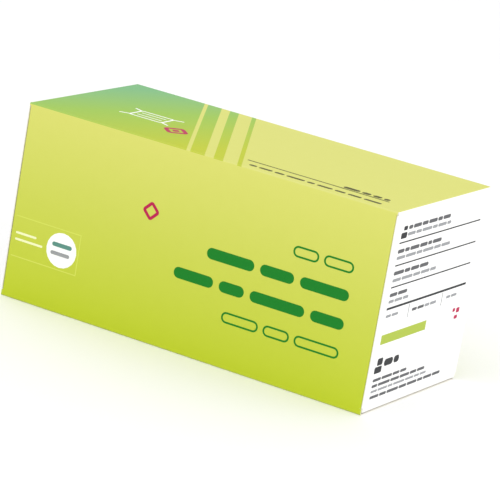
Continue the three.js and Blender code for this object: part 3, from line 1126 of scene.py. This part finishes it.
class CARTON_OT_lid_print(Operator):
    """Prints the lids with ruled rows of small bars, plain blocks and a coloured bar"""

    bl_idname = "carton.lid_print"
    bl_label = "Lid print"

    def execute(self, context):
        blocks = [*LID_RULES, *LID_BLOCKS, *bar_row(*LID_BLOCK_ROW)]
        strong = [mark for row in LID_STRONG_ROWS for mark in bar_row(*row, LID_GAP)]
        light = [mark for row in LID_LIGHT_ROWS for mark in bar_row(*row, LID_GAP)]
        prints = (
            print_marks("right_lid_rules", LID, blocks, "black_ink"),
            print_marks("right_lid_strong_rows", LID, strong, "dark_grey_ink"),
            print_marks("right_lid_light_rows", LID, [*LID_DIVIDERS, *light], "light_grey_ink"),
            print_marks("right_lid_bar", LID, [LID_BAR], "lime_ink"),
            print_marks("right_lid_small_blocks", LID, LID_SMALL_BLOCKS, "magenta_ink"),
        )
        for piece in prints:
            copy = turned_copy(piece, piece.name.replace("right", "left"))
            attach(piece, "right_lid")
            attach(copy, "left_lid")
        return {"FINISHED"}


# Stage

FLOOR_PATCHES = 400 * MM  # clouds in the floor's paint
FLOOR_PAINT = "#fdfdfd"
FLOOR_THIN_PAINT = "#fbfbfb"
FLOOR_ROUGHNESS = 0.8
SOFT_LIGHTS = (
    # name, place and width in metres, setting that holds its power
    ("key_light", (-0.6, -1.4, 1.9), 1.6, "key_power"),
    ("side_light", (1.9, -0.6, 0.9), 1.2, "side_power"),
)
SENSOR_WIDTH = 36  # millimetres
VIEW_REACH = 50  # metres, past the floor's far corner


class CARTON_OT_stage(Operator):
    """Sets the plain pale floor, the soft studio light and the camera"""

    bl_idname = "carton.stage"
    bl_label = "Stage"

    def execute(self, context):
        stage = context.scene.carton_stage
        self.lay_floor(stage)
        self.light(context, stage)
        self.place_camera(context, stage)
        context.scene.view_settings.view_transform = "Standard"
        return {"FINISHED"}

    @staticmethod
    def lay_floor(stage):
        """White emulsion paint, rolled on: matt and even, with clouds almost too faint to see."""
        deselect_all()
        bpy.ops.mesh.primitive_plane_add(size=stage.floor_width, location=(0, 0, 0))
        floor = bpy.context.object
        floor.name = "studio_floor"
        material, tree, shader = new_material("painted_floor", FLOOR_ROUGHNESS)
        place = add_node(tree, "ShaderNodeTexCoord").outputs["Object"]
        patches = add_node(tree, "ShaderNodeTexNoise", inputs={"Vector": place, "Scale": 1 / FLOOR_PATCHES})
        layers = {"Factor": patches, "A": linear(FLOOR_PAINT), "B": linear(FLOOR_THIN_PAINT)}
        paint = add_node(tree, "ShaderNodeMix", {"data_type": "RGBA"}, layers)
        set_inputs(tree, shader, {"Base Color": paint})
        floor.data.materials.append(material)

    @staticmethod
    def light(context, stage):
        world = bpy.data.worlds.new("studio")
        world.use_nodes = True
        sky = world.node_tree.nodes["Background"]
        sky.inputs["Color"].default_value = (*WHITE, 1)
        sky.inputs["Strength"].default_value = stage.sky_strength
        context.scene.world = world
        for name, place, width, power in SOFT_LIGHTS:
            deselect_all()
            bpy.ops.object.light_add(type="AREA", location=place)
            lamp = bpy.context.object
            lamp.name = name
            lamp.data.size = width
            lamp.data.energy = getattr(stage, power)
            lamp.rotation_euler = Vector(place).to_track_quat("Z", "Y").to_euler()

    @staticmethod
    def place_camera(context, stage):
        deselect_all()
        level = math.cos(stage.elevation)
        x, y = math.sin(stage.azimuth) * level, -math.cos(stage.azimuth) * level
        away = Vector((x, y, math.sin(stage.elevation)))
        turn = away.to_track_quat("Z", "Y") @ Quaternion((0, 0, 1), stage.roll)
        bpy.ops.object.camera_add(location=stage.camera_place, rotation=turn.to_euler())
        camera = bpy.context.object
        camera.name = "photo_camera"
        camera.data.lens = stage.lens
        camera.data.sensor_width = SENSOR_WIDTH
        camera.data.clip_end = VIEW_REACH
        context.scene.camera = camera


class CARTON_PT_panel(Panel):
    """The carton's steps and settings"""

    bl_idname = "CARTON_PT_panel"
    bl_label = "Mask carton"
    bl_space_type = "VIEW_3D"
    bl_region_type = "UI"
    bl_category = "Carton"

    def draw(self, context):
        scene = context.scene
        for step in STEPS:
            self.layout.operator(step.bl_idname)
        for group in (scene.carton_board, scene.carton_colours, scene.carton_stage):
            box = self.layout.box()
            for name in group.bl_rna.properties.keys():
                if name not in ("name", "rna_type"):
                    box.prop(group, name)


STEPS = (
    CARTON_OT_stage,
    CARTON_OT_sleeve,
    CARTON_OT_lids,
    CARTON_OT_tuck_flaps,
    CARTON_OT_dust_flaps,
    CARTON_OT_front_print,
    CARTON_OT_top_print,
    CARTON_OT_lid_print,
)
GROUPS = {"carton_board": CartonBoardSizes, "carton_colours": CartonColours, "carton_stage": CartonStage}


def register():
    for kind in (*GROUPS.values(), *STEPS, CARTON_PT_panel):
        bpy.utils.register_class(kind)
    for name, group in GROUPS.items():
        setattr(bpy.types.Scene, name, PointerProperty(type=group))


def unregister():
    for name in GROUPS:
        delattr(bpy.types.Scene, name)
    for kind in (CARTON_PT_panel, *reversed(STEPS), *GROUPS.values()):
        bpy.utils.unregister_class(kind)


def main():
    register()
    bpy.ops.carton.stage()
    bpy.ops.carton.sleeve()
    bpy.ops.carton.lids()
    bpy.ops.carton.tuck_flaps()
    bpy.ops.carton.dust_flaps()
    bpy.ops.carton.front_print()
    bpy.ops.carton.top_print()
    bpy.ops.carton.lid_print()


if __name__ == "__main__":
    main()
